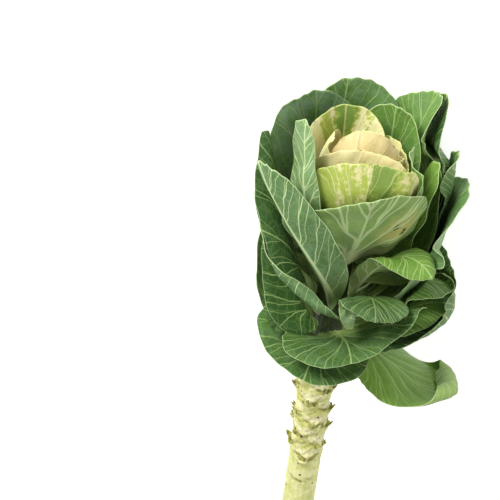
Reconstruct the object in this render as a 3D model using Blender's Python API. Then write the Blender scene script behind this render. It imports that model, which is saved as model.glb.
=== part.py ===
"""Flowering kale: one cut stem with its leafy head, lying on its side on a flat surface.

The plant is worked out upright in its own millimetres: the stalk runs up Z from its cut end, an azimuth
of 0 degrees is the side that ends up on top, and 90 degrees is the side towards +X. Each leaf is one
blade that starts on the stalk, bends outward and rises round the head. Leaves are laid from the heart
outward, and each one passes outside those laid before it. The finished plant is then laid down with
its head towards +Y, resting on its lower leaves and the end of its stalk.
"""
import math
from collections import namedtuple

import bpy
import numpy as np

MM = 0.001

# Stalk, in millimetres along its axis from the cut end
STALK_RADII = (
    (0.0, 10.9), (60.0, 11.0), (150.0, 10.3), (200.0, 10.4), (262.0, 10.7), (330.0, 9.0), (398.0, 5.0),
)
STALK_TOP = STALK_RADII[-1][0]
STALK_SIDES = 20
STALK_RINGS = ((0.0, 8), (150.0, 34), (268.0, 10), (398.0, 0))
GOLDEN_ANGLE_DEG = 137.508

# Leaf scars: worn down low on the stalk, torn petiole stubs further up
WORN_SCARS = (16.0, 184.0, 15, 0.8)
TORN_SCARS = (192.0, 262.0, 21, 2.6)
SCAR_WIDE_DEG, SCAR_TALL, SCAR_LEDGE = 25.0, 4.5, 4.0

# Share by which the bare stalk leans to the right, and the height below which it does
STALK_LEAN, STALK_LEANS_BELOW = 0.033, 262.0

# Growing tip in the middle of the heart
BUD_BASE, BUD_HEIGHT, BUD_RADIUS = 398.5, 9.0, 4.2
BUD_SIDES, BUD_RINGS, BUD_CLOSES = 18, 7, 0.92
BUD_FOLDS, BUD_FOLD_DEPTH, BUD_TWIST = 5, 0.16, 3.0

# Leaves
HEART_CELLS, GREEN_CELLS = 6, 8
SHARP_DEG = 50.0
BLADE_THICK = 0.85
PETIOLE_SHARE = 0.2
PETIOLE_RUN = 0.14
PETIOLE_CURVE = 0.8
ROUNDNESS = 0.42
MIDRIB_PULL = 0.4
LAYER_GAP = 2.3
STALK_GAP = 0.9
LAYER_BLEND = 1.2
RIM_START = 0.55
RIM_WAVES, RIM_WAVE_SHARE = (3.0, 5.0, 2.0), 0.7
RIM_WAVE_RISE = 1.5
RIM_MIDDLE = 0.3
HOOK_FROM = 0.75
SEED = 7

# Map of how far out the leaves laid so far reach, by azimuth and height
MAP_TURNS = 96
MAP_RISE = 3.0
MAP_HEIGHT = 480.0
MAP_SPREAD = 1
MAP_KEEP = 0.98
MAP_SAMPLES = 61

# The head isn't quite round: two and three soft lobes run up it
LOBE_TWO, LOBE_THREE = 0.035, 0.03
LOBE_FROM, LOBE_FULL = 16.0, 40.0
LOBE_TURN, LOBE_TWIST = 0.6, 40.0

# How the plant lies: axis tilt, and the underside pressed flat by the head's weight
TILT_DEG = 8.5
PRESS_FROM, PRESS_DEPTH = 24.0, 9.0
FLOOR_DEPTH = STALK_RADII[0][1]

Leaf = namedtuple(
    "Leaf",
    "name azimuth spread base reach top rise lean sweep fold slant flare lift curl wave hook",
    defaults=(0.0, 0.0, 0.0, (0.0, 0.0), (0.0, 0.0), 1.5, 1.6, 0.0),
)

# From the heart outward. Angles in degrees, lengths in millimetres: spread is half the blade's width
# round the stalk, base its height on the stalk, reach and top its tip's place, rise and lean the angles
# from the axis at the base and the tip. Sweep turns the tip sideways, fold tucks both halves in, slant
# raises the right side and lowers the left, and flare and lift move each edge outward and up.
HEART_LEAVES = (
    Leaf("heart_leaf_01", 5, 75, 382, 7, 439, 46, -37, sweep=-25, fold=2, slant=3,
         flare=(0, 5), lift=(-1, 11), curl=1, wave=0.5),
    Leaf("heart_leaf_02", 165, 66, 386, 12, 424, 44, -30, curl=0.3, wave=0.6),
    Leaf("heart_leaf_03", -94, 64, 382, 15.4, 428, 51, -36, sweep=1, slant=-5, flare=(2, 2),
         lift=(-7, -1), curl=0.7, wave=0.8),
    Leaf("heart_leaf_04", 79, 61, 380, 20.7, 425, 49, -15, sweep=-1, flare=(-1, 0),
         lift=(1, 0), curl=0.6, wave=0.8),
    Leaf("heart_leaf_05", -14, 56, 374, 21, 436, 48, -23, sweep=15, slant=1, flare=(8, 14),
         lift=(-1, 11), curl=1.2, wave=0.8),
    Leaf("heart_leaf_06", -162, 66, 370, 28.8, 432, 52, -1, sweep=4, slant=-3,
         flare=(-7, 6), lift=(-2, 4), curl=0.6, wave=1),
    Leaf("heart_leaf_07", 114, 52, 370, 28, 422, 60, -3, sweep=5, slant=-2, flare=(2, 3),
         lift=(10, 4), curl=0, wave=1),
    Leaf("heart_leaf_08", -84, 50, 366, 34.5, 419, 50, -2, flare=(0, 1), lift=(-2, 0), curl=0.5, wave=0.8),
    Leaf("heart_leaf_09", 7, 60, 360, 35, 433, 58, -10, sweep=4, flare=(1, 4), lift=(3, 7),
         curl=0, wave=0.8),
)
GREEN_LEAVES = (
    Leaf("leaf_01", -32, 22, 359, 39, 446, 39, -8, sweep=-27, slant=-4, flare=(-2, 1),
         lift=(-4, -14), curl=1.4),
    Leaf("leaf_02", 77, 30, 344, 29, 426, 50, -10, sweep=2, fold=1, slant=15, flare=(2, 3),
         lift=(13, 5), curl=0.5),
    Leaf("leaf_03", 10, 63, 344, 43.5, 415, 31, 3, sweep=3, fold=1, slant=13, flare=(6, 8),
         lift=(5, -2), curl=2),
    Leaf("leaf_04", 150, 49, 337, 39.6, 429, 51, -7, sweep=5, fold=2, slant=-2,
         flare=(-2, -5), lift=(-5, -10), curl=1.4),
    Leaf("leaf_05", 104, 27, 336, 46.5, 414, 55, 0, sweep=-7, fold=1, slant=2, flare=(1, 4),
         lift=(-2, -13), curl=1.8),
    Leaf("leaf_06", -148, 50, 335, 52.1, 435, 53, 5, sweep=4, fold=2, slant=6,
         flare=(-3, 3), lift=(-12, 6), curl=2.1),
    Leaf("leaf_07", 0, 17, 312, 59.5, 418, 43, 15, sweep=-66, fold=6, slant=6,
         flare=(-5, 7), lift=(10, 13), curl=0),
    Leaf("leaf_08", -169, 45, 327, 57.5, 434, 57, 9, sweep=1, fold=5, slant=-8,
         flare=(-2, -2), lift=(0, -27), curl=2.3),
    Leaf("leaf_09", 121, 43, 323, 55.7, 403, 74, -6, sweep=13, fold=5, slant=-2,
         flare=(3, 0), lift=(-9, -11), curl=1.2),
    Leaf("leaf_10", 145, 28, 320, 59, 437, 80, 25, sweep=-6, fold=3, slant=-12,
         flare=(-15, 7), lift=(6, 24)),
    Leaf("leaf_11", -38, 54, 308, 56, 378, 49, 64, sweep=-16, slant=-65, flare=(16, 14), lift=(18, 20)),
    Leaf("leaf_12", 52, 25, 313, 69.5, 371, 16, 124, sweep=-5, fold=6, slant=2,
         flare=(-6, -5), lift=(2, -12), curl=1),
    Leaf("leaf_13", 131, 25, 311, 58, 442, 74, 16, sweep=4, fold=1, slant=-3, flare=(-3, -1), lift=(11, 3)),
    Leaf("leaf_14", -148, 43, 311, 60.6, 417, 65, 2, sweep=2, slant=1, flare=(0, -1),
         lift=(0, -2), curl=1.6),
    Leaf("leaf_15", 113, 16, 305, 62, 415, 74, 30, sweep=-1, slant=-7, flare=(0, 1), lift=(9, -1)),
    Leaf("leaf_16", 100, 42, 301, 71, 403, 77, 30, slant=-2, flare=(-3, -2), lift=(12, -13), curl=2.6),
    Leaf("leaf_17", 35, 29, 307, 64, 344, 32, 119, sweep=-14, slant=-12, flare=(16, 5), lift=(1, 4)),
    Leaf("leaf_18", 171, 43, 303, 61.5, 402, 67, 4, sweep=1, flare=(0, 1), lift=(-2, -1)),
    Leaf("leaf_19", -57, 49, 303, 47, 353, 25, 48, sweep=-19, slant=-61, flare=(1, 3),
         lift=(-43, 13), curl=2),
    Leaf("leaf_20", 88, 23, 306, 64.5, 341, 36, 93, sweep=-2, slant=-7, flare=(11, 5),
         lift=(-2, -23), curl=2.5),
    Leaf("leaf_21", -148, 32, 296, 58, 390, 68, 4),
    Leaf("leaf_22", -180, 42, 291, 63.4, 377, 67, 1, sweep=1, slant=1, flare=(0, 1)),
    Leaf("leaf_23", 87, 23, 294, 69.5, 330, 58, 59, sweep=1, slant=2, flare=(2, 0),
         lift=(-9, -5), curl=0.5),
    Leaf("leaf_24", 18, 46, 297, 65.5, 314, 67, 98, sweep=-5, fold=1, slant=3,
         flare=(8, 13), lift=(10, 26)),
    Leaf("leaf_25", 92, 35, 289, 71.5, 346, 56, 44, sweep=3, fold=1, slant=9, flare=(2, -4),
         lift=(-14, 5), curl=1),
    Leaf("leaf_26", 148, 32, 284, 65, 362, 72, 6),
    Leaf("leaf_27", -112, 32, 280, 48, 334, 50, 30),
    Leaf("leaf_28", -9, 49, 289, 67, 302, 50, 92, slant=-15, flare=(-5, -4), lift=(13, 13), curl=0.5),
    Leaf("leaf_29", 73, 37, 278, 88, 263, 38, 98, sweep=4, fold=1, slant=-13, flare=(-5, 5),
         lift=(-8, -1), curl=0.5, hook=7),
    Leaf("leaf_30", 152, 36, 266, 61, 345, 72, 6),
    Leaf("leaf_31", -148, 34, 262, 61.5, 345, 72, 5, sweep=-3, flare=(1, -2), lift=(-2, 0)),
)


def smooth_step(value):
    """Ease from 0 to 1."""
    part = np.clip(value, 0.0, 1.0)
    return part * part * (3.0 - 2.0 * part)


def smooth_max(first, second):
    """The larger of two lengths, with a rounded change from one to the other."""
    far = np.maximum(first, second)
    return far + LAYER_BLEND * np.log1p(np.exp(-np.abs(first - second) / LAYER_BLEND))


def stalk_radius(height):
    """Radius of the bare stalk at a height."""
    heights, radii = zip(*STALK_RADII)
    return np.interp(height, heights, radii)


def square_to_blade(across, along):
    """Turn places on a square into places on a blade: round above, drawn in to its petiole below."""
    above = np.maximum(along, 0.0)
    side = across * (1.0 - above**2 / 2.0) ** ROUNDNESS
    rise = np.where(along > 0.0, along * (1.0 - across**2 / 2.0) ** ROUNDNESS, along)
    opening = np.clip((along + 1.0 - PETIOLE_RUN) / (1.0 - PETIOLE_RUN), 0.0, 1.0)
    width = PETIOLE_SHARE + (1.0 - PETIOLE_SHARE) * np.sin(opening * math.pi / 2.0) ** PETIOLE_CURVE
    return side * width, rise


def midrib(leaf, share):
    """Distance from the axis and height along the leaf's midrib, as one Bezier curve."""
    start = (stalk_radius(leaf.base) + STALK_GAP, leaf.base)
    end = (leaf.reach, leaf.top)
    pull = MIDRIB_PULL * math.dist(start, end)
    rise, lean = math.radians(leaf.rise), math.radians(leaf.lean)
    first = (start[0] + pull * math.sin(rise), start[1] + pull * math.cos(rise))
    second = (end[0] - pull * math.sin(lean), end[1] - pull * math.cos(lean))
    weights = ((1 - share) ** 3, 3 * share * (1 - share) ** 2, 3 * share**2 * (1 - share), share**3)
    out = sum(w * p[0] for w, p in zip(weights, (start, first, second, end)))
    height = sum(w * p[1] for w, p in zip(weights, (start, first, second, end)))
    return out, height


def free_blade(leaf, number, across, along):
    """Azimuth, distance from the axis and height of places on a leaf that nothing presses on."""
    side, rise = square_to_blade(across, along)
    share = (rise + 1.0) / 2.0
    out, height = midrib(leaf, share)
    turn = np.radians(leaf.azimuth + leaf.sweep * share**2 + leaf.spread * side)
    near_rim = smooth_step((np.maximum(np.abs(across), along) - RIM_START) / (1.0 - RIM_START))
    near_rim = near_rim * smooth_step(share * 2.0)
    draw = np.random.default_rng(SEED + number)
    phases = draw.uniform(0.0, 2.0 * math.pi, 3)
    round_rim = np.arctan2(side, rise + RIM_MIDDLE)
    first, second, third = (np.sin(count * round_rim + phase) for count, phase in zip(RIM_WAVES, phases))
    waves = first + RIM_WAVE_SHARE * second
    left, right = np.minimum(side, 0.0) ** 2, np.maximum(side, 0.0) ** 2
    out = out + leaf.flare[0] * left + leaf.flare[1] * right - leaf.fold * np.abs(side) * share
    out = out + near_rim * leaf.wave * waves + leaf.curl * near_rim**2
    height = height + leaf.lift[0] * left + leaf.lift[1] * right + leaf.slant * side * share
    height = height + RIM_WAVE_RISE * near_rim * leaf.wave * third
    height = height + leaf.hook * np.clip((share - HOOK_FROM) / (1.0 - HOOK_FROM), 0.0, 1.0) ** 2
    return turn, out, height


def map_places(turn, height):
    """Where an azimuth and a height fall on the map, in cells."""
    column = np.mod(turn / (2.0 * math.pi), 1.0) * MAP_TURNS
    row = np.clip(height / MAP_RISE, 0.0, MAP_HEIGHT / MAP_RISE - 2.0)
    return column, row


def read_map(reached, turn, height):
    """Distance reached at each place, between the map's cells."""
    column, row = map_places(turn, height)
    left, low = np.floor(column).astype(int), np.floor(row).astype(int)
    part, up = column - left, row - low
    left, right = left % MAP_TURNS, (left + 1) % MAP_TURNS
    below = reached[low, left] * (1 - part) + reached[low, right] * part
    above = reached[low + 1, left] * (1 - part) + reached[low + 1, right] * part
    return below * (1 - up) + above * up


def widened(reached):
    """The map with every reach carried to the cells round it, then softened."""
    wide = reached
    for step in range(-MAP_SPREAD, MAP_SPREAD + 1):
        wide = np.maximum(wide, np.roll(reached, step, axis=1))
    tall = wide
    for step in range(1, MAP_SPREAD + 1):
        tall[step:] = np.maximum(tall[step:], wide[:-step])
        tall[:-step] = np.maximum(tall[:-step], wide[step:])
    soft = (np.roll(tall, 1, axis=1) + 2.0 * tall + np.roll(tall, -1, axis=1)) / 4.0
    soft[1:-1] = (soft[:-2] + 2.0 * soft[1:-1] + soft[2:]) / 4.0
    return np.maximum(soft, tall * MAP_KEEP)


def layered(leaves):
    """Each leaf with the map of what lies inside it, laid from the heart outward."""
    heights = np.arange(int(MAP_HEIGHT / MAP_RISE)) * MAP_RISE
    core = np.where(heights < STALK_TOP, stalk_radius(heights) + STALK_GAP, 0.0)
    reached = np.repeat(core[:, None], MAP_TURNS, axis=1)
    fine = np.linspace(-1.0, 1.0, MAP_SAMPLES)
    across, along = np.meshgrid(fine, fine)
    for number, leaf in enumerate(leaves):
        inside = widened(reached.copy())
        yield leaf, inside
        turn, out, height = pressed_blade(leaf, number, inside, across, along)
        column, row = map_places(turn, height)
        cells = (np.rint(row).astype(int).ravel(), np.rint(column).astype(int).ravel() % MAP_TURNS)
        np.maximum.at(reached, cells, (out + LAYER_GAP).ravel())


def pressed_blade(leaf, number, inside, across, along):
    """The leaf again, pushed outward wherever the leaves inside it reach further."""
    turn, out, height = free_blade(leaf, number, across, along)
    return turn, smooth_max(out, read_map(inside, turn, height)), height


def upright(turn, out, height):
    """Places of the upright plant in X, Y and Z, with the head's soft lobes."""
    lobes = LOBE_TWO * np.cos(2.0 * turn + LOBE_TURN)
    lobes = lobes + LOBE_THREE * np.cos(3.0 * turn + height / LOBE_TWIST)
    far = out * (1.0 + lobes * smooth_step((out - LOBE_FROM) / (LOBE_FULL - LOBE_FROM)))
    return np.stack((far * np.sin(turn), -far * np.cos(turn), height), axis=-1)


def laid_flat(places):
    """The plant on its side with its head towards +Y, tilted to rest on its head and its stalk's end."""
    tilt = math.radians(TILT_DEG)
    side, back, height = places[..., 0], places[..., 1], places[..., 2]
    along = height * math.cos(tilt) + back * math.sin(tilt)
    above = height * math.sin(tilt) - back * math.cos(tilt) + FLOOR_DEPTH
    return np.stack((side, along, above), axis=-1)


def laid_down(places):
    """The same for leaves, with the underside of the head pressed against the surface."""
    laid = laid_flat(places)
    reach = PRESS_FROM + PRESS_DEPTH
    depth = np.clip(PRESS_FROM - laid[..., 2], 0.0, reach)
    laid[..., 2] += PRESS_DEPTH * (depth / reach) ** 2
    return laid


def blade_triangles(columns, rows):
    """Triangles of a closed blade: a grid on each face, split alike, and a strip round the rim."""
    wide = columns + 1
    count = wide * (rows + 1)
    triangles = []
    for row in range(rows):
        for column in range(columns):
            a = row * wide + column
            b, c, d = a + 1, a + wide + 1, a + wide
            halves = ((a, b, c), (a, c, d)) if (column < columns / 2) else ((a, b, d), (b, c, d))
            for half in halves:
                triangles.append(half)
                triangles.append(tuple(count + place for place in reversed(half)))
    rim = list(range(columns))
    rim += [row * wide + columns for row in range(rows)]
    rim += [rows * wide + column for column in range(columns, 0, -1)]
    rim += [row * wide for row in range(rows, 0, -1)]
    for first, second in zip(rim, rim[1:] + rim[:1]):
        triangles.append((first, count + first, second))
        triangles.append((second, count + first, count + second))
    return triangles


def grid_normals(places):
    """Unit directions square to a grid of places."""
    down_rows, over_columns = np.gradient(places, axis=0), np.gradient(places, axis=1)
    square = np.cross(over_columns, down_rows)
    return square / np.maximum(np.linalg.norm(square, axis=-1, keepdims=True), 1e-9)


def mesh_object(name, places, triangles, material):
    """One named object from places in millimetres and triangles."""
    mesh = bpy.data.meshes.new(name)
    mesh.from_pydata((places * MM).tolist(), [], triangles)
    mesh.validate()
    mesh.update()
    mesh.materials.append(material)
    mesh.shade_smooth()
    mesh.set_sharp_from_angle(angle=math.radians(SHARP_DEG))
    made = bpy.data.objects.new(name, mesh)
    bpy.context.scene.collection.objects.link(made)
    return made


def make_leaf(leaf, number, inside, cells, material):
    """One leaf: its curved middle surface thickened to both sides."""
    steps = np.linspace(-1.0, 1.0, cells + 1)
    across, along = np.meshgrid(steps, steps)
    middle = laid_down(upright(*pressed_blade(leaf, number, inside, across, along)))
    half = grid_normals(middle) * BLADE_THICK / 2.0
    places = np.concatenate(((middle + half).reshape(-1, 3), (middle - half).reshape(-1, 3)))
    return mesh_object(leaf.name, places, blade_triangles(cells, cells), material)


def scar_relief(turn, height, scars):
    """How far the stalk's surface stands out: a crescent ledge at each old leaf's scar."""
    first, last, count, tallness = scars
    relief = np.zeros(np.broadcast(turn, height).shape)
    for number in range(count):
        middle = first + (last - first) * number / (count - 1)
        away = np.mod(turn - math.radians(GOLDEN_ANGLE_DEG) * number + math.pi, 2.0 * math.pi) - math.pi
        sideways = away / math.radians(SCAR_WIDE_DEG)
        upward = (height - middle) / SCAR_TALL
        steep = np.where(upward > 0.0, SCAR_LEDGE, 1.0)
        relief = np.maximum(relief, tallness * np.exp(-sideways**2 - steep * upward**2))
    return relief


def turned_body(name, rings, sides, ends, material):
    """A closed body from rings of places, closed by a fan to a point at each end."""
    places = np.concatenate((rings.reshape(-1, 3), np.array(ends)))
    bottom, top = len(places) - 2, len(places) - 1
    last = bottom - sides
    triangles = []
    for start in range(0, last, sides):
        for side in range(sides):
            a, b = start + side, start + (side + 1) % sides
            triangles.append((a, b, b + sides))
            triangles.append((a, b + sides, a + sides))
    for side in range(sides):
        follow = (side + 1) % sides
        triangles.append((bottom, follow, side))
        triangles.append((top, last + side, last + follow))
    return mesh_object(name, laid_flat(places), triangles, material)


def around_axis(far, turn, height):
    """Places at a distance from the axis, an azimuth and a height; the bare stalk leans a little."""
    aside = STALK_LEAN * np.maximum(STALK_LEANS_BELOW - height, 0.0)
    return np.stack((far * np.sin(turn) + aside, -far * np.cos(turn), height), axis=-1)


def make_stalk(material):
    """The stalk: rings up the axis with the scars' relief, closed by a flat cut and a small top."""
    spans = zip(STALK_RINGS, STALK_RINGS[1:])
    steps = [np.linspace(low, high, count, endpoint=False) for (low, count), (high, _) in spans]
    heights = np.append(np.concatenate(steps), STALK_TOP)
    turns = np.arange(STALK_SIDES) * 2.0 * math.pi / STALK_SIDES
    turn, height = np.meshgrid(turns, heights)
    relief = scar_relief(turn, height, WORN_SCARS) + scar_relief(turn, height, TORN_SCARS)
    away_from_leaves = smooth_step((TORN_SCARS[1] + SCAR_TALL - height) / (2.0 * SCAR_TALL))
    rings = around_axis(stalk_radius(height) + relief * away_from_leaves, turn, height)
    ends = around_axis(np.zeros(2), np.zeros(2), np.array((0.0, STALK_TOP)))
    return turned_body("stalk", rings, STALK_SIDES, ends, material)


def make_bud(material):
    """The growing tip: a small dome with soft folds that twist as they rise."""
    turns = np.arange(BUD_SIDES) * 2.0 * math.pi / BUD_SIDES
    turn, rise = np.meshgrid(turns, np.linspace(0.0, BUD_CLOSES, BUD_RINGS))
    folds = 1.0 + BUD_FOLD_DEPTH * np.sin(BUD_FOLDS * turn + BUD_TWIST * rise)
    far = BUD_RADIUS * np.sqrt(1.0 - rise**2) * folds
    rings = around_axis(far, turn, BUD_BASE + BUD_HEIGHT * rise)
    ends = ((0.0, 0.0, BUD_BASE), (0.0, 0.0, BUD_BASE + BUD_HEIGHT))
    return turned_body("heart_bud", rings, BUD_SIDES, ends, material)


def plant_material(name, colour, roughness):
    """A plain Principled surface in the plant's own colour."""
    material = bpy.data.materials.new(name)
    material.use_nodes = True
    surface = material.node_tree.nodes["Principled BSDF"]
    surface.inputs["Base Color"].default_value = (*colour, 1.0)
    surface.inputs["Roughness"].default_value = roughness
    return material


def clear_scene():
    """Remove the objects of the start file."""
    for old in list(bpy.data.objects):
        bpy.data.objects.remove(old, do_unlink=True)


def main():
    clear_scene()
    stalk_skin = plant_material("stalk_skin", (0.60, 0.62, 0.28), 0.6)
    cream_leaf = plant_material("cream_leaf", (0.86, 0.80, 0.42), 0.5)
    green_leaf = plant_material("green_leaf", (0.07, 0.16, 0.06), 0.5)
    made = [make_stalk(stalk_skin), make_bud(cream_leaf)]
    for number, (leaf, inside) in enumerate(layered(HEART_LEAVES + GREEN_LEAVES)):
        heart = number < len(HEART_LEAVES)
        cells = HEART_CELLS if heart else GREEN_CELLS
        made.append(make_leaf(leaf, number, inside, cells, cream_leaf if heart else green_leaf))
    corners = np.array([made_one.matrix_world @ v.co for made_one in made for v in made_one.data.vertices])
    low, high = corners.min(axis=0), corners.max(axis=0)
    shift = (-(low[0] + high[0]) / 2.0, -(low[1] + high[1]) / 2.0, -low[2])
    for made_one in made:
        made_one.location = shift


main()
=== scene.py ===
"""Looks of the flowering kale: finer leaves with veins, a scarred stalk, light, floor and camera.

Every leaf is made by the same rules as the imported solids, so it lies where its solid lies. The plant is
worked out upright in millimetres and then laid down: an azimuth of 0 degrees is the side that ends up on
top, 90 degrees is the side towards +X, and heights run up the stalk from its cut end.
"""
import math
from collections import namedtuple

import bpy
import numpy as np
from mathutils import Matrix, Vector


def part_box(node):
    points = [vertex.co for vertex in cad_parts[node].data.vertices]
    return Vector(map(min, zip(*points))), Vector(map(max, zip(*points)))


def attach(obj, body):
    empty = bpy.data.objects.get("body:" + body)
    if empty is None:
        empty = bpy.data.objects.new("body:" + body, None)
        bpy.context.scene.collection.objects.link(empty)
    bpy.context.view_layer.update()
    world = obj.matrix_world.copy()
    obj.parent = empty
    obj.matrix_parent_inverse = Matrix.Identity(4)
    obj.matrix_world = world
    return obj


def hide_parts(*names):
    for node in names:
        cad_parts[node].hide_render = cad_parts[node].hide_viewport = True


MM = 0.001
TURN = 2.0 * math.pi

# Stalk, in millimetres along its axis from the cut end
STALK_RADII = (
    (0.0, 10.9), (60.0, 11.0), (150.0, 10.3), (200.0, 10.4), (262.0, 10.7), (330.0, 9.0), (398.0, 5.0),
)
STALK_TOP = STALK_RADII[-1][0]
STALK_SIDES = 20
STALK_RINGS = ((0.0, 8), (150.0, 34), (268.0, 10), (398.0, 0))
GOLDEN_ANGLE_DEG = 137.508
WORN_SCARS = (16.0, 184.0, 15, 0.8)
TORN_SCARS = (192.0, 262.0, 21, 2.6)
SCAR_WIDE_DEG, SCAR_TALL, SCAR_LEDGE = 25.0, 4.5, 4.0

# Share by which the bare stalk leans to the right, and the height below which it does
STALK_LEAN, STALK_LEANS_BELOW = 0.033, 262.0

# Fine stalk: spans of height with the gap between rings, faint lines along it, grooves at the scars, and
# the torn stubs of petioles
STALK_FINE_SIDES = 128
STALK_FINE = ((0.0, 186.0, 1.6), (186.0, 268.0, 0.6), (268.0, 397.0, 6.0))
STALK_LINES, STALK_LINE_COUNT = 0.12, 19
STALK_GROOVE = 0.8
MARK_WIDE_DEG, SCAR_BOW, TORN_ROUGH, RAGGED_SCARS = 36.0, 0.25, 0.45, 0.35
TORN_UP, TORN_TALL, BROWN_UP, BROWN_TALL = 1.0, 0.7, 0.2, 0.22
WORN_PALE, WORN_BROWN = 0.35, 0.7
CUT_RINGS, CUT_ROUGH = 10, 0.25
STUBS_A_SCAR, STUB_APART_DEG = 3, 17.0
STUB_CELLS, STUB_ROWS, STUB_JAGS = 12, 4, 7
STUB_WIDE_DEG, STUB_TALL, STUB_SUNK = 11.0, (2.4, 7.6), 0.45
STUB_THICK, STUB_THINS = 0.42, 0.26
STUB_STRAY, STUB_STRAY_DEG = 1.0, 4.0

# Growing tip in the middle of the heart
BUD_BASE, BUD_HEIGHT, BUD_RADIUS = 398.5, 9.0, 4.2
BUD_FOLDS, BUD_FOLD_DEPTH, BUD_TWIST, BUD_CRUMPLE = 5, 0.16, 3.0, 0.07
BUD_SIDES, BUD_RINGS, BUD_CLOSES, BUD_WAVES = 72, 30, 0.985, (13.0, 7.0, 9.0)

# Leaves
BLADE_THICK = 0.85
PETIOLE_SHARE = 0.2
PETIOLE_RUN = 0.14
PETIOLE_CURVE = 0.8
ROUNDNESS = 0.42
MIDRIB_PULL = 0.4
LAYER_GAP = 2.3
STALK_GAP = 0.9
LAYER_BLEND = 1.2
RIM_START = 0.55
RIM_WAVES, RIM_WAVE_SHARE = (3.0, 5.0, 2.0), 0.7
RIM_WAVE_RISE = 1.5
RIM_MIDDLE = 0.3
HOOK_FROM = 0.75
SEED = 7

# Map of how far out the leaves laid so far reach, by azimuth and height
MAP_TURNS = 96
MAP_RISE = 3.0
MAP_HEIGHT = 480.0
MAP_SPREAD = 1
MAP_KEEP = 0.98
MAP_SAMPLES = 61

# The head isn't quite round: two and three soft lobes run up it
LOBE_TWO, LOBE_THREE = 0.035, 0.03
LOBE_FROM, LOBE_FULL = 16.0, 40.0
LOBE_TURN, LOBE_TWIST = 0.6, 40.0

# How the plant lies: axis tilt, and the underside pressed flat by the head's weight
TILT_DEG = 8.5
PRESS_FROM, PRESS_DEPTH = 24.0, 9.0
FLOOR_DEPTH = STALK_RADII[0][1]

Leaf = namedtuple(
    "Leaf",
    "name azimuth spread base reach top rise lean sweep fold slant flare lift curl wave hook",
    defaults=(0.0, 0.0, 0.0, (0.0, 0.0), (0.0, 0.0), 1.5, 1.6, 0.0),
)

# From the heart outward. Angles in degrees, lengths in millimetres: spread is half the blade's width
# round the stalk, base its height on the stalk, reach and top its tip's place, rise and lean the angles
# from the axis at the base and the tip. Sweep turns the tip sideways, fold tucks both halves in, slant
# raises the right side and lowers the left, flare and lift move the left and the right edge outward and
# up, curl turns the rim outward, wave makes it uneven and hook lifts the tip.
HEART_LEAVES = (
    Leaf("heart_leaf_01", 5, 75, 382, 7, 439, 46, -37, -25, 2, 3, (0, 5), (-1, 11), 1, 0.5),
    Leaf("heart_leaf_02", 165, 66, 386, 12, 424, 44, -30, 0, 0, 0, (0, 0), (0, 0), 0.3, 0.6),
    Leaf("heart_leaf_03", -94, 64, 382, 15.4, 428, 51, -36, 1, 0, -5, (2, 2), (-7, -1), 0.7, 0.8),
    Leaf("heart_leaf_04", 79, 61, 380, 20.7, 425, 49, -15, -1, 0, 0, (-1, 0), (1, 0), 0.6, 0.8),
    Leaf("heart_leaf_05", -14, 56, 374, 21, 436, 48, -23, 15, 0, 1, (8, 14), (-1, 11), 1.2, 0.8),
    Leaf("heart_leaf_06", -162, 66, 370, 28.8, 432, 52, -1, 4, 0, -3, (-7, 6), (-2, 4), 0.6, 1),
    Leaf("heart_leaf_07", 114, 52, 370, 28, 422, 60, -3, 5, 0, -2, (2, 3), (10, 4), 0, 1),
    Leaf("heart_leaf_08", -84, 50, 366, 34.5, 419, 50, -2, 0, 0, 0, (0, 1), (-2, 0), 0.5, 0.8),
    Leaf("heart_leaf_09", 7, 60, 360, 35, 433, 58, -10, 4, 0, 0, (1, 4), (3, 7), 0, 0.8),
)
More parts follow.
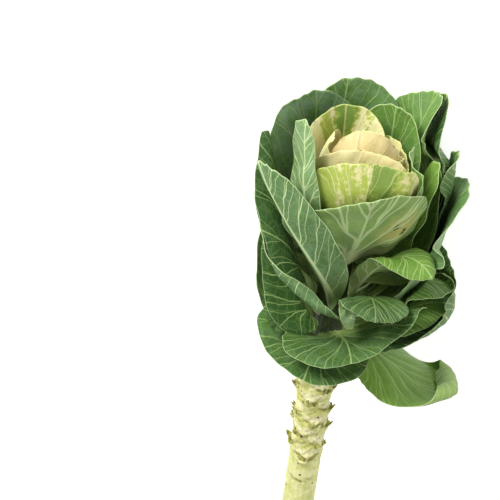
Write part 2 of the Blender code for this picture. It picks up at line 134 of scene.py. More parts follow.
GREEN_LEAVES = (
    Leaf("leaf_01", -32, 22, 359, 39, 446, 39, -8, -27, 0, -4, (-2, 1), (-4, -14), 1.4),
    Leaf("leaf_02", 77, 30, 344, 29, 426, 50, -10, 2, 1, 15, (2, 3), (13, 5), 0.5),
    Leaf("leaf_03", 10, 63, 344, 43.5, 415, 31, 3, 3, 1, 13, (6, 8), (5, -2), 2),
    Leaf("leaf_04", 150, 49, 337, 39.6, 429, 51, -7, 5, 2, -2, (-2, -5), (-5, -10), 1.4),
    Leaf("leaf_05", 104, 27, 336, 46.5, 414, 55, 0, -7, 1, 2, (1, 4), (-2, -13), 1.8),
    Leaf("leaf_06", -148, 50, 335, 52.1, 435, 53, 5, 4, 2, 6, (-3, 3), (-12, 6), 2.1),
    Leaf("leaf_07", 0, 17, 312, 59.5, 418, 43, 15, -66, 6, 6, (-5, 7), (10, 13), 0),
    Leaf("leaf_08", -169, 45, 327, 57.5, 434, 57, 9, 1, 5, -8, (-2, -2), (0, -27), 2.3),
    Leaf("leaf_09", 121, 43, 323, 55.7, 403, 74, -6, 13, 5, -2, (3, 0), (-9, -11), 1.2),
    Leaf("leaf_10", 145, 28, 320, 59, 437, 80, 25, -6, 3, -12, (-15, 7), (6, 24)),
    Leaf("leaf_11", -38, 54, 308, 56, 378, 49, 64, -16, 0, -65, (16, 14), (18, 20)),
    Leaf("leaf_12", 52, 25, 313, 69.5, 371, 16, 124, -5, 6, 2, (-6, -5), (2, -12), 1),
    Leaf("leaf_13", 131, 25, 311, 58, 442, 74, 16, 4, 1, -3, (-3, -1), (11, 3)),
    Leaf("leaf_14", -148, 43, 311, 60.6, 417, 65, 2, 2, 0, 1, (0, -1), (0, -2), 1.6),
    Leaf("leaf_15", 113, 16, 305, 62, 415, 74, 30, -1, 0, -7, (0, 1), (9, -1)),
    Leaf("leaf_16", 100, 42, 301, 71, 403, 77, 30, 0, 0, -2, (-3, -2), (12, -13), 2.6),
    Leaf("leaf_17", 35, 29, 307, 64, 344, 32, 119, -14, 0, -12, (16, 5), (1, 4)),
    Leaf("leaf_18", 171, 43, 303, 61.5, 402, 67, 4, 1, 0, 0, (0, 1), (-2, -1)),
    Leaf("leaf_19", -57, 49, 303, 47, 353, 25, 48, -19, 0, -61, (1, 3), (-43, 13), 2),
    Leaf("leaf_20", 88, 23, 306, 64.5, 341, 36, 93, -2, 0, -7, (11, 5), (-2, -23), 2.5),
    Leaf("leaf_21", -148, 32, 296, 58, 390, 68, 4),
    Leaf("leaf_22", -180, 42, 291, 63.4, 377, 67, 1, 1, 0, 1, (0, 1)),
    Leaf("leaf_23", 87, 23, 294, 69.5, 330, 58, 59, 1, 0, 2, (2, 0), (-9, -5), 0.5),
    Leaf("leaf_24", 18, 46, 297, 65.5, 314, 67, 98, -5, 1, 3, (8, 13), (10, 26)),
    Leaf("leaf_25", 92, 35, 289, 71.5, 346, 56, 44, 3, 1, 9, (2, -4), (-14, 5), 1),
    Leaf("leaf_26", 148, 32, 284, 65, 362, 72, 6),
    Leaf("leaf_27", -112, 32, 280, 48, 334, 50, 30),
    Leaf("leaf_28", -9, 49, 289, 67, 302, 50, 92, 0, 0, -15, (-5, -4), (13, 13), 0.5),
    Leaf("leaf_29", 73, 37, 278, 88, 263, 38, 98, 4, 1, -13, (-5, 5), (-8, -1), 0.5, 1.6, 7),
    Leaf("leaf_30", 152, 36, 266, 61, 345, 72, 6),
    Leaf("leaf_31", -148, 34, 262, 61.5, 345, 72, 5, -3, 0, 0, (1, -2), (-2, 0)),
)

# How finely each blade is divided: most of all the leaves that show at the front
HEART_CELLS, SHOWN_CELLS, COVERED_CELLS = 56, 76, 36
COVERED = ("leaf_14", "leaf_18", "leaf_21", "leaf_22", "leaf_26", "leaf_27", "leaf_30", "leaf_31")

# Fine form of a blade: veins that fan out along it, puckers between them, a thin wavy rim
VEIN_COUNT = 4.9
FAN_ROOT, FAN_BEND = 0.1, 1.35
FEATHERED_LEAST, FEATHERED_MORE, MORE_VEINS = 0.35, 0.53, 0.8
WIDE_LEAF, NARROWS_OVER, VEIN_SLANT, RIB_BLUR = 48.0, 28.0, 0.8, 3.0
VEIN_WANDER, WANDER_SCALE, CALM_WHERE_NARROW = 0.04, 5.0, 0.85
BEND_STEPS, MOST_BEND, VEIN_STEPS = 5.0, 0.8, (0.02, 0.6)
PUCKER, PUCKER_FADE, PUCKER_SPREAD, PUCKER_FROM, PUCKER_OVER = 0.5, 0.15, 45.0, 0.12, 0.3
NEAR_RIM, RIPPLE, RIPPLE_WAVES, SLOW_RIPPLE, SLOW_WAVES = 0.25, 0.55, 15, 0.6, 9.0
NOTCH, NOTCH_WAVES = 0.014, 34
RIM_THIN, RIM_THINS = 0.6, 0.15
RIB_WIDE, RIB_TALL, RIB_NARROWS, RIB_LEAST, RIB_ENDS = 2.6, 0.75, 1.2, 0.2, 0.5

# Rims that carry on into a roll and show their underside: where along the rim the roll starts and ends
# (0 to 1 up the left side, 1 to 2 over the tip, 2 to 3 down the right side), its width and its radius,
# and the degrees it turns at once and in all
Roll = namedtuple("Roll", "start end wide radius least most")
ROLL_CELLS, ROLL_FADE, ROLL_LEAST, ROLL_INSET = 16, 0.45, 0.3, 0.94
ROLLS = {
    "leaf_11": Roll(1.45, 2.30, 12.0, 3.4, 0.0, 165.0),
    "leaf_29": Roll(1.10, 2.20, 20.0, 5.2, 50.0, 215.0),
    "leaf_20": Roll(1.20, 2.40, 7.0, 2.4, 30.0, 200.0),
}

# Clouds in the tone of a leaf, and the luck of its veins, which differs by leaf and by side
CLOUDED, CLOUD_SCALE = 0.12, 3.0
LEAF_LUCK, SIDE_LUCK = 7.0, 3.0

# Tone of each leaf where it isn't the usual: how light, how yellow-green and how waxy it is, how thick
# its veins are and how cream its base is. Leaves that lie in shade, such as leaf_05, leaf_06, leaf_09,
# leaf_16 and heart_leaf_06, have their light and wax raised as painted light that lifts the shade.
Tone = namedtuple("Tone", "light warm wax thick base", defaults=(0.30, 0.10, 0.30, 1.0, 0.25))
TONES = {
    "heart_leaf_01": Tone(0.4, 0.75, 0.2, 1.0, 0.0),
    "heart_leaf_05": Tone(0.5, 0.45, 0.3, 1.0, 0.0),
    "heart_leaf_06": Tone(1.1, 0.00, 0.9, 1.3, 0.0),
    "heart_leaf_09": Tone(0.4, 0.05, 0.3, 1.5, 0.0),
    "leaf_01": Tone(0.50, 0.15, 0.60, 1.3),
    "leaf_02": Tone(0.70, 0.45, 0.10),
    "leaf_03": Tone(0.02, 0.50, 0.10, 3.3, 1.0),
    "leaf_04": Tone(0.50, 0.30, 0.25),
    "leaf_05": Tone(1.30, 0.75, 0.15),
    "leaf_06": Tone(1.50, 0.00, 1.80),
    "leaf_07": Tone(-0.1, 0.05, 0.30, 1.1),
    "leaf_08": Tone(0.45, 0.15, 0.60),
    "leaf_09": Tone(0.80, 0.40, 0.10),
    "leaf_10": Tone(0.70, 0.30, 0.35),
    "leaf_11": Tone(-0.25, 0.05, 0.10),
    "leaf_12": Tone(0.45, 0.40, 0.10),
    "leaf_13": Tone(0.10, 0.05, 0.25),
    "leaf_16": Tone(1.00, 0.10, 0.80),
    "leaf_19": Tone(-0.45, 0.05, 0.05),
    "leaf_20": Tone(0.30, 0.20, 0.20),
    "leaf_23": Tone(0.65, 0.40, 0.10),
    "leaf_25": Tone(0.20, 0.05, 0.35),
    "leaf_29": Tone(0.75, 0.65, 0.10, 1.3),
}

# Green streaks on the cream heart leaves: from and to as turns of the fan of veins, minus to the left,
# from which share of the leaf's length, how strong, and how yellow
STREAK_FADE, STREAK_FULL, STREAK_SOFT = 0.35, 1.25, 0.75
Streak = namedtuple("Streak", "low high start strength yellow")
STREAKS = {
    "heart_leaf_06": (
        Streak(-0.13, 0.13, 0.50, 1.0, 0.1),
        Streak(0.16, 0.30, 0.35, 0.75, 0.9),
        Streak(-0.32, -0.19, 0.62, 0.4, 0.9),
    ),
    "heart_leaf_09": (
        Streak(0.0, 0.24, 0.25, 1.0, 0.25),
        Streak(-0.70, -0.34, 0.10, 0.95, 0.75),
        Streak(-0.26, -0.10, 0.30, 0.60, 1.0),
        Streak(-0.62, 0.45, 0.00, 0.45, 1.0),
    ),
    "heart_leaf_07": (
        Streak(0.30, 0.75, 0.55, 0.6, 0.8),
        Streak(-0.80, -0.45, 0.30, 0.7, 0.6),
    ),
    "heart_leaf_08": (Streak(-0.9, 0.9, 0.10, 0.75, 0.6),),
}

# A scorched patch: the leaf, its place across and along the blade, and how wide and tall it is
SCORCHED = ("leaf_03", 0.52, 0.64, 0.32, 0.22)
SCORCH_PALE, SCORCH_BROWN = (0.38, 0.38, 0.12), (0.05, 0.035, 0.012)

# Colours of one face of a leaf, how much its net and its veins show, its midrib's width in millimetres and
# its roughness
Palette = namedtuple("Palette", "deep light warm wax vein rim net_share vein_share rib gloss")
UPPER_GREEN = Palette(
    (0.018, 0.064, 0.014), (0.082, 0.196, 0.042), (0.190, 0.350, 0.030), (0.155, 0.250, 0.150),
    (0.36, 0.50, 0.17), (0.46, 0.60, 0.24), 0.13, 0.70, 2.2, 0.50,
)
UNDER_GREEN = Palette(
    (0.062, 0.142, 0.042), (0.175, 0.310, 0.105), (0.300, 0.440, 0.100), (0.225, 0.335, 0.205),
    (0.50, 0.62, 0.30), (0.52, 0.66, 0.32), 0.11, 0.78, 3.6, 0.55,
)
HEART_CREAM = Palette(
    (0.64, 0.59, 0.25), (0.72, 0.69, 0.36), (0.62, 0.48, 0.22), (0.75, 0.72, 0.44),
    (0.86, 0.84, 0.52), (0.66, 0.72, 0.24), 0.06, 0.22, 2.6, 0.42,
)
STREAK_GREEN, STREAK_YELLOW = (0.14, 0.25, 0.050), (0.37, 0.45, 0.08)
STALK_GREEN, STALK_PALE, STALK_OLIVE = (0.56, 0.60, 0.18), (0.80, 0.78, 0.38), (0.30, 0.30, 0.06)
STALK_TORN, STALK_BROWN, STALK_SPECK = (0.86, 0.79, 0.53), (0.13, 0.10, 0.02), (0.06, 0.045, 0.015)
# STALK_SHADED is painted shade, laid on the stalk where it runs up among the leaves
STALK_SHADED, STALK_YELLOW = (0.035, 0.055, 0.018), (0.50, 0.50, 0.10)
PITH, PITH_DARK = (0.68, 0.68, 0.42), (0.48, 0.50, 0.25)
BASE_CREAM, RIM_SPOT = (0.50, 0.52, 0.25), (0.10, 0.09, 0.03)

# Lines in the materials: the meshes of the nets in millimetres, widths as shares of the gap between veins,
# and where a vein forks, with the part that luck plays, over how long the branch leaves it and how far
NET_LINE, WIDE_NET, FINE_NET = 0.1, 6.0, 2.4
LINE_CORE, VEIN_WIDE, VEIN_TAPER = 0.35, 0.62, 0.26
Fork = namedtuple("Fork", "start luck over aside")
FORKS = (Fork(0.35, 0.25, 0.6, 0.38), Fork(0.9, -0.35, 0.5, -0.34))
FORK_WIDE, FORK_BEGINS = 0.7, 0.03
RIB_TIP, RIB_CORE, RIB_NARROWING = 0.5, 0.6, 1.6
STREAK_ACROSS, STREAK_ALONG, STREAK_RAGGED = 1.6, 4.5, 1.8
TONE_CLOUDED, WARM_BASE, LEAF_SPECULAR = 1.4, 0.7, 0.22

# Cloudy noises: the size of a blotch in millimetres, then the detail and the roughness
TONE_CLOUDS, WARM_CLOUDS, WAX_CLOUDS, SCORCH_CLOUDS = (18.0, 4.0, 0.6), (12.0,), (8.0, 5.0, 0.65), (5.0,)
VEIN_BENDS, STREAK_CLOUDS, RIM_SPOTS, BUD_CLOUDS = (13.0, 2.0, 0.4), (3.5, 4.0, 0.6), (2.2, 1.0), (2.0, 3.0)
STALK_CLOUDS, YELLOW_CLOUDS, STALK_GRAIN = (7.0, 4.0, 0.6), (5.0, 4.0, 0.6), (1.6, 3.0, 0.7)
BROWN_CLOUDS, SPECK_CLOUDS, STALK_BUMPS = (3.0, 4.0), (15.0,), (1.8, 4.0, 0.65)
PITH_CLOUDS, FIBRES, CUT_BUMPS = (1.2, 4.0, 0.7), (0.9,), (1.0, 3.0)
SPECK_SPACING = 6.0

# Seeds, to which the number of a leaf or a stub is added in the first three
RIM_SEED, CLOUD_SEED, STUB_SEED = 100, 200, 300
RAGGED_SEED, ROUGH_SEED, DENT_SEED = 31, 37, 41

# Camera, taken from the plant's own axis: looking down on the head from its upper side
CAMERA_RISE_DEG = 35.0
CAMERA_ROLL_DEG = 9.0
CAMERA_TARGET = (-53.4, 0.0, 339.5)
CAMERA_DISTANCE = 1100.0
FRAME_WIDE = 300.0
SENSOR = 36.0

# Stage: a floor that glows a little, as a lit white table does, lights by place, size and power, and a
# pale surround
WHITE, FLOOR_COLOUR = (1.0, 1.0, 1.0), (0.86, 0.86, 0.85)
FLOOR_SIZE, FLOOR_GLOW, SURROUND = 12.0, 0.45, 0.36
LIGHTS_AIM = (0.0, 0.12, 0.06)
LIGHTS = (("key_light", (-1.0, 1.3, 0.9), 0.7, 36.0), ("fill_light", (0.6, 0.2, 1.5), 1.4, 13.0))


def smooth_step(value):
    """Ease from 0 to 1."""
    part = np.clip(value, 0.0, 1.0)
    return part * part * (3.0 - 2.0 * part)


def smooth_max(first, second):
    """The larger of two lengths, with a rounded change from one to the other."""
    far = np.maximum(first, second)
    return far + LAYER_BLEND * np.log1p(np.exp(-np.abs(first - second) / LAYER_BLEND))


def stalk_radius(height):
    """Radius of the bare stalk at a height."""
    heights, radii = zip(*STALK_RADII)
    return np.interp(height, heights, radii)


def square_to_blade(across, along):
    """Turn places on a square into places on a blade: round above, drawn in to its petiole below."""
    above = np.maximum(along, 0.0)
    side = across * (1.0 - above**2 / 2.0) ** ROUNDNESS
    rise = np.where(along > 0.0, along * (1.0 - across**2 / 2.0) ** ROUNDNESS, along)
    opening = np.clip((along + 1.0 - PETIOLE_RUN) / (1.0 - PETIOLE_RUN), 0.0, 1.0)
    width = PETIOLE_SHARE + (1.0 - PETIOLE_SHARE) * np.sin(opening * math.pi / 2.0) ** PETIOLE_CURVE
    return side * width, rise


def midrib(leaf, share):
    """Distance from the axis and height along the leaf's midrib, as one Bezier curve."""
    start = (stalk_radius(leaf.base) + STALK_GAP, leaf.base)
    end = (leaf.reach, leaf.top)
    pull = MIDRIB_PULL * math.dist(start, end)
    rise, lean = math.radians(leaf.rise), math.radians(leaf.lean)
    first = (start[0] + pull * math.sin(rise), start[1] + pull * math.cos(rise))
    second = (end[0] - pull * math.sin(lean), end[1] - pull * math.cos(lean))
    weights = ((1 - share) ** 3, 3 * share * (1 - share) ** 2, 3 * share**2 * (1 - share), share**3)
    out = sum(w * p[0] for w, p in zip(weights, (start, first, second, end)))
    height = sum(w * p[1] for w, p in zip(weights, (start, first, second, end)))
    return out, height


def free_blade(leaf, number, across, along):
    """Azimuth, distance from the axis and height of places on a leaf that nothing presses on."""
    side, rise = square_to_blade(across, along)
    share = (rise + 1.0) / 2.0
    out, height = midrib(leaf, share)
    turn = np.radians(leaf.azimuth + leaf.sweep * share**2 + leaf.spread * side)
    near_rim = smooth_step((np.maximum(np.abs(across), along) - RIM_START) / (1.0 - RIM_START))
    near_rim = near_rim * smooth_step(share * 2.0)
    draw = np.random.default_rng(SEED + number)
    phases = draw.uniform(0.0, TURN, 3)
    round_rim = np.arctan2(side, rise + RIM_MIDDLE)
    first, second, third = (np.sin(count * round_rim + phase) for count, phase in zip(RIM_WAVES, phases))
    waves = first + RIM_WAVE_SHARE * second
    left, right = np.minimum(side, 0.0) ** 2, np.maximum(side, 0.0) ** 2
    out = out + leaf.flare[0] * left + leaf.flare[1] * right - leaf.fold * np.abs(side) * share
    out = out + near_rim * leaf.wave * waves + leaf.curl * near_rim**2
    height = height + leaf.lift[0] * left + leaf.lift[1] * right + leaf.slant * side * share
    height = height + RIM_WAVE_RISE * near_rim * leaf.wave * third
    height = height + leaf.hook * np.clip((share - HOOK_FROM) / (1.0 - HOOK_FROM), 0.0, 1.0) ** 2
    return turn, out, height


def map_places(turn, height):
    """Where an azimuth and a height fall on the map, in cells."""
    column = np.mod(turn / TURN, 1.0) * MAP_TURNS
    row = np.clip(height / MAP_RISE, 0.0, MAP_HEIGHT / MAP_RISE - 2.0)
    return column, row


def read_map(reached, turn, height):
    """Distance reached at each place, between the map's cells."""
    column, row = map_places(turn, height)
    left, low = np.floor(column).astype(int), np.floor(row).astype(int)
    part, up = column - left, row - low
    left, right = left % MAP_TURNS, (left + 1) % MAP_TURNS
    below = reached[low, left] * (1 - part) + reached[low, right] * part
    above = reached[low + 1, left] * (1 - part) + reached[low + 1, right] * part
    return below * (1 - up) + above * up


def widened(reached):
    """The map with every reach carried to the cells round it, then softened."""
    wide = reached
    for step in range(-MAP_SPREAD, MAP_SPREAD + 1):
        wide = np.maximum(wide, np.roll(reached, step, axis=1))
    tall = wide
    for step in range(1, MAP_SPREAD + 1):
        tall[step:] = np.maximum(tall[step:], wide[:-step])
        tall[:-step] = np.maximum(tall[:-step], wide[step:])
    soft = (np.roll(tall, 1, axis=1) + 2.0 * tall + np.roll(tall, -1, axis=1)) / 4.0
    soft[1:-1] = (soft[:-2] + 2.0 * soft[1:-1] + soft[2:]) / 4.0
    return np.maximum(soft, tall * MAP_KEEP)


def layered(leaves):
    """Each leaf with the map of what lies inside it, laid from the heart outward."""
    heights = np.arange(int(MAP_HEIGHT / MAP_RISE)) * MAP_RISE
    core = np.where(heights < STALK_TOP, stalk_radius(heights) + STALK_GAP, 0.0)
    reached = np.repeat(core[:, None], MAP_TURNS, axis=1)
    fine = np.linspace(-1.0, 1.0, MAP_SAMPLES)
    across, along = np.meshgrid(fine, fine)
    for number, leaf in enumerate(leaves):
        inside = widened(reached.copy())
        yield leaf, inside
        turn, out, height = pressed_blade(leaf, number, inside, across, along)
        column, row = map_places(turn, height)
        cells = (np.rint(row).astype(int).ravel(), np.rint(column).astype(int).ravel() % MAP_TURNS)
        np.maximum.at(reached, cells, (out + LAYER_GAP).ravel())


def pressed_blade(leaf, number, inside, across, along):
    """The leaf again, pushed outward wherever the leaves inside it reach further."""
    turn, out, height = free_blade(leaf, number, across, along)
    return turn, smooth_max(out, read_map(inside, turn, height)), height


def upright(turn, out, height):
    """Places of the upright plant in X, Y and Z, with the head's soft lobes."""
    lobes = LOBE_TWO * np.cos(2.0 * turn + LOBE_TURN)
    lobes = lobes + LOBE_THREE * np.cos(3.0 * turn + height / LOBE_TWIST)
    far = out * (1.0 + lobes * smooth_step((out - LOBE_FROM) / (LOBE_FULL - LOBE_FROM)))
    return np.stack((far * np.sin(turn), -far * np.cos(turn), height), axis=-1)


def turned(places):
    """The plant turned on its side with its head towards +Y."""
    tilt = math.radians(TILT_DEG)
    side, back, height = places[..., 0], places[..., 1], places[..., 2]
    along = height * math.cos(tilt) + back * math.sin(tilt)
    return np.stack((side, along, height * math.sin(tilt) - back * math.cos(tilt)), axis=-1)


def laid_flat(places):
    """The plant on its side and raised, so that it rests on its head and its stalk's end."""
    return turned(places) + (0.0, 0.0, FLOOR_DEPTH)


def laid_down(places):
    """The same for leaves, with the underside of the head pressed against the surface."""
    laid = laid_flat(places)
    reach = PRESS_FROM + PRESS_DEPTH
    depth = np.clip(PRESS_FROM - laid[..., 2], 0.0, reach)
    laid[..., 2] += PRESS_DEPTH * (depth / reach) ** 2
    return laid


def grid_normals(places):
    """Unit directions square to a grid of places."""
    down_rows, over_columns = np.gradient(places, axis=0), np.gradient(places, axis=1)
    square = np.cross(over_columns, down_rows)
    return square / np.maximum(np.linalg.norm(square, axis=-1, keepdims=True), 1e-9)


def scar_height(number, scars):
    """How far up the stalk a scar is."""
    first, last, count, _ = scars
    return first + (last - first) * number / (count - 1)


def from_scars(turn, height, scars):
    """For each scar of a spiral, how far round and how far up from it places are."""
    for number in range(scars[2]):
        away = np.mod(turn - math.radians(GOLDEN_ANGLE_DEG) * number + math.pi, TURN) - math.pi
        yield away, (height - scar_height(number, scars)) / SCAR_TALL


def scar_relief(turn, height, scars):
    """How far the stalk's surface stands out: a crescent ledge at each old leaf's scar."""
    relief = np.zeros(np.broadcast(turn, height).shape)
    for away, upward in from_scars(turn, height, scars):
        sideways = away / math.radians(SCAR_WIDE_DEG)
        steep = np.where(upward > 0.0, SCAR_LEDGE, 1.0)
        relief = np.maximum(relief, scars[3] * np.exp(-sideways**2 - steep * upward**2))
    return relief


def around_axis(far, turn, height):
    """Places at a distance from the axis, an azimuth and a height; the bare stalk leans a little."""
    aside = STALK_LEAN * np.maximum(STALK_LEANS_BELOW - height, 0.0)
    return np.stack((far * np.sin(turn) + aside, -far * np.cos(turn), height), axis=-1)


def round_turns(sides):
    """Azimuths of this many sides."""
    return np.arange(sides) * TURN / sides


def below_leaves(height):
    """1 on the bare stalk, easing to 0 where the leaves start."""
    return smooth_step((TORN_SCARS[1] + SCAR_TALL - height) / (2.0 * SCAR_TALL))


def packed_stalk_rings():
    """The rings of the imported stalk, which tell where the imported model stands."""
    spans = zip(STALK_RINGS, STALK_RINGS[1:])
    steps = [np.linspace(low, high, count, endpoint=False) for (low, count), (high, _) in spans]
    heights = np.append(np.concatenate(steps), STALK_TOP)
    turn, height = np.meshgrid(round_turns(STALK_SIDES), heights)
    relief = scar_relief(turn, height, WORN_SCARS) + scar_relief(turn, height, TORN_SCARS)
    return around_axis(stalk_radius(height) + relief * below_leaves(height), turn, height)


def soft_noise(first, second, seed, waves=6):
    """Smooth seeded noise from -1 to 1 over two coordinates, as a sum of slanting waves."""
    draw = np.random.default_rng(seed)
    total = np.zeros(np.broadcast(first, second).shape)
    for _ in range(waves):
        across, along = draw.normal(0.0, 1.0, 2)
        total = total + np.sin(across * first + along * second + draw.uniform(0.0, TURN))
    return total / math.sqrt(waves)


def beside_rib(places):
    """How far up the midrib each place lies, how far it is off it, and the midrib's length."""
    rib = places[:, places.shape[1] // 2]
    along = np.append(0.0, np.cumsum(np.linalg.norm(np.diff(rib, axis=0), axis=-1)))
    away = np.linalg.norm(places[:, :, None] - rib, axis=-1)
    nearest = away.min(axis=-1)
    weights = np.exp((nearest[..., None] ** 2 - away**2) / (2.0 * RIB_BLUR**2))
    up = np.sum(weights * along, axis=-1) / np.sum(weights, axis=-1)
    return up / along[-1], nearest / along[-1], along[-1]


def fan_turn(side, share):
    """How far a place is turned from the midrib, seen from near the leaf's base, from 0 to 1."""
    return np.arctan(np.abs(side) / (share + FAN_ROOT) ** FAN_BEND) / (math.pi / 2.0)


def vein_places(leaf, side, share, up, off, seed):
    """Which vein a place is nearest, as a running number, and how far it is from the leaf's base."""
    feathered = 1.0 - up + VEIN_SLANT * off
    narrow = smooth_step((WIDE_LEAF - leaf.spread) / NARROWS_OVER)
    mix = FEATHERED_LEAST + FEATHERED_MORE * narrow
    noise = soft_noise(WANDER_SCALE * side, WANDER_SCALE * share, seed)
    wander = VEIN_WANDER * (1.0 - CALM_WHERE_NARROW * narrow) * noise
    count = VEIN_COUNT * (1.0 + MORE_VEINS * narrow)
    running = count * ((1.0 - mix) * fan_turn(side, share) + mix * feathered + wander)
    return running, np.hypot(side, share)


def steps_per_mm(places, values):
    """How fast a value changes over a curved sheet."""
    down, over = np.gradient(values, axis=0), np.gradient(values, axis=1)
    tall = np.linalg.norm(np.gradient(places, axis=0), axis=-1)
    wide = np.linalg.norm(np.gradient(places, axis=1), axis=-1)
    return np.hypot(down / np.maximum(tall, 1e-3), over / np.maximum(wide, 1e-3))


def streak_strength(leaf, side, share):
    """How green a heart leaf is, and how yellow that green, from its table of streaks."""
    fan = np.sign(side) * fan_turn(side, share)
    green, yellow = np.zeros(side.shape), np.zeros(side.shape)
    for streak in STREAKS.get(leaf.name, ()):
        middle, wide = (streak.low + streak.high) / 2.0, (streak.high - streak.low) / 2.0
        inside = smooth_step(STREAK_FULL - STREAK_SOFT * np.abs(fan - middle) / wide)
        inside = inside * smooth_step((share - streak.start) / STREAK_FADE)
        yellow = np.where(inside * streak.strength > green, streak.yellow, yellow)
        green = np.maximum(green, inside * streak.strength)
    return green, yellow


def blade_faces(rows, columns):
    """Corner numbers of a closed blade: its outer face, its inner face and the strip round its rim."""
    wide = columns + 1
    count = wide * (rows + 1)
    row, column = np.meshgrid(np.arange(rows), np.arange(columns), indexing="ij")
    corner = (row * wide + column).ravel()
    outer = np.stack((corner, corner + 1, corner + wide + 1, corner + wide), axis=1)
    inner = outer[:, ::-1] + count
    rim = list(range(columns))
    rim += [step * wide + columns for step in range(rows)]
    rim += [rows * wide + step for step in range(columns, 0, -1)]
    rim += [step * wide for step in range(rows, 0, -1)]
    first = np.array(rim)
    second = np.roll(first, -1)
    strip = np.stack((first, count + first, count + second, second), axis=1)
    return outer, inner, strip


def fine_mesh(name, places, faces, materials, kinds):
    """A mesh from places in millimetres, four-cornered faces and a material for each face."""
    mesh = bpy.data.meshes.new(name)
    mesh.vertices.add(len(places))
    mesh.vertices.foreach_set("co", (places * MM + SHIFT).astype(np.float32).ravel())
    mesh.loops.add(faces.size)
    mesh.loops.foreach_set("vertex_index", faces.astype(np.int32).ravel())
    mesh.polygons.add(len(faces))
    mesh.polygons.foreach_set("loop_start", np.arange(0, faces.size, 4, dtype=np.int32))
    mesh.polygons.foreach_set("material_index", np.asarray(kinds, dtype=np.int32))
    mesh.update(calc_edges=True)
    mesh.validate()
    mesh.shade_smooth()
    for material in materials:
        mesh.materials.append(material)
    made = bpy.data.objects.new(name, mesh)
    bpy.context.scene.collection.objects.link(made)
    return made


def add_values(mesh, values):
    """Numbers at every vertex, by name, for the materials."""
    for name, value in values.items():
        layer = mesh.attributes.new(name, "FLOAT", "POINT")
        layer.data.foreach_set("value", np.asarray(value, dtype=np.float32).ravel())


def add_corner_places(mesh, name, first, second):
    """Two coordinates at every face corner, for the materials."""
    layer = mesh.uv_layers.new(name=name)
    layer.data.foreach_set("uv", np.stack((first, second), axis=-1).astype(np.float32).ravel())


def along_rim(grid):
    """Values of a grid along its rim: up the right side, back over the tip and down the left side."""
    return np.concatenate((grid[:, -1], grid[-1, -2::-1], grid[-2::-1, 0]))


def rolled_rim(middle, drawn, normals, roll):
    """Rows of places that carry part of the rim on into a roll, which rows these are and their steps."""
    edge, inward = along_rim(middle), -along_rim(normals)
    tangent = np.gradient(edge, axis=0)
    tangent = tangent / np.linalg.norm(tangent, axis=-1, keepdims=True)
    outward = edge - along_rim(drawn)
    outward = outward - tangent * np.sum(outward * tangent, axis=-1, keepdims=True)
    outward = outward / np.linalg.norm(outward, axis=-1, keepdims=True)
    where = 3.0 - np.linspace(0.0, 3.0, len(edge))
    taken = np.flatnonzero((where > roll.start) & (where < roll.end))
    fade = smooth_step((where - roll.start) / ROLL_FADE) * smooth_step((roll.end - where) / ROLL_FADE)
    step = (ROLL_LEAST + roll.wide * fade[taken]) / ROLL_CELLS
    outward, inward = outward[taken], inward[taken]
    places, angle = [edge[taken]], math.radians(roll.least)
    for _ in range(ROLL_CELLS):
        angle = np.minimum(angle + step / roll.radius, math.radians(roll.most))
        onward = np.cos(angle)[:, None] * outward + np.sin(angle)[:, None] * inward
        places.append(places[-1] + step[:, None] * onward)
    return np.stack(places, axis=1), taken, step


def shell(name, middle, normals, half, rib, materials, veins, side, share, values):
    """A thickened sheet with everything its materials need stored on it."""
    outer = middle + normals * (half + rib)[..., None]
    inner = middle - normals * half[..., None]
    faces = blade_faces(middle.shape[0] - 1, middle.shape[1] - 1)
    kinds = np.concatenate([np.full(len(part), kind) for part, kind in zip(faces, (0, 1, 0))])
    corners = np.concatenate(faces)
    places = np.concatenate((outer.reshape(-1, 3), inner.reshape(-1, 3)))
    made = fine_mesh(name, places, corners, materials, kinds)
    phase, reach = veins
    values["vein_step"] = np.clip(steps_per_mm(middle, phase), *VEIN_STEPS)
    flat = corners % middle[..., 0].size
    add_corner_places(made.data, "veins", phase.ravel()[flat], reach.ravel()[flat])
    add_corner_places(made.data, "blade", side.ravel()[flat], share.ravel()[flat])
    add_values(made.data, {key: np.tile((value + 0.0 * side).ravel(), 2) for key, value in values.items()})
    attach(made, "root")
    return made


def scorch_strength(leaf, side, share):
    """How near a place is to the middle of the scorched patch, from 0 to 1."""
    name, across, along, wide, tall = SCORCHED
    near = np.exp(-(((side - across) / wide) ** 2) - ((share - along) / tall) ** 2)
    return near * (leaf.name == name)


def tone_values(leaf, number, side, share):
    """The leaf's tone, with soft clouds in it, and its streaks."""
    tone = TONES.get(leaf.name, Tone())
    clouds = CLOUDED * soft_noise(CLOUD_SCALE * side, CLOUD_SCALE * share, CLOUD_SEED + number)
    green, yellow = streak_strength(leaf, side, share)
    return {
        "green": green, "yellow": yellow, "light": tone.light + clouds, "warm": tone.warm,
        "wax": tone.wax + clouds, "thick": tone.thick, "pale_base": tone.base,
        "luck": LEAF_LUCK * number + SIDE_LUCK * (side > 0.0), "scorch": scorch_strength(leaf, side, share),
    }


def add_roll(leaf, number, middle, drawn, normals, side, share, size, beside, materials):
    """The rolled part of a leaf's rim, as a piece of its own that starts on the blade's edge."""
    places, taken, step = rolled_rim(middle, drawn, normals, ROLLS[leaf.name])
    onward = np.arange(ROLL_CELLS + 1) * step[:, None]
    side = along_rim(side)[taken][:, None] * (1.0 + onward / size)
    share = along_rim(share)[taken][:, None] + 0.0 * onward
    up, off, length = beside
    up = along_rim(up)[taken][:, None] + 0.0 * onward
    off = along_rim(off)[taken][:, None] + onward / length
    veins = vein_places(leaf, side, share, up, off, number)
    values = tone_values(leaf, number, side, share)
    values["off_rib"] = np.abs(side) * size
    values["to_rim"] = onward[:, -1:] - onward
    half = BLADE_THICK / 2.0 * (1.0 - RIM_THIN) + 0.0 * onward
    normals = grid_normals(places)
    shell(leaf.name + "_roll", places, normals, half, 0.0 * half, materials, veins, side, share, values)


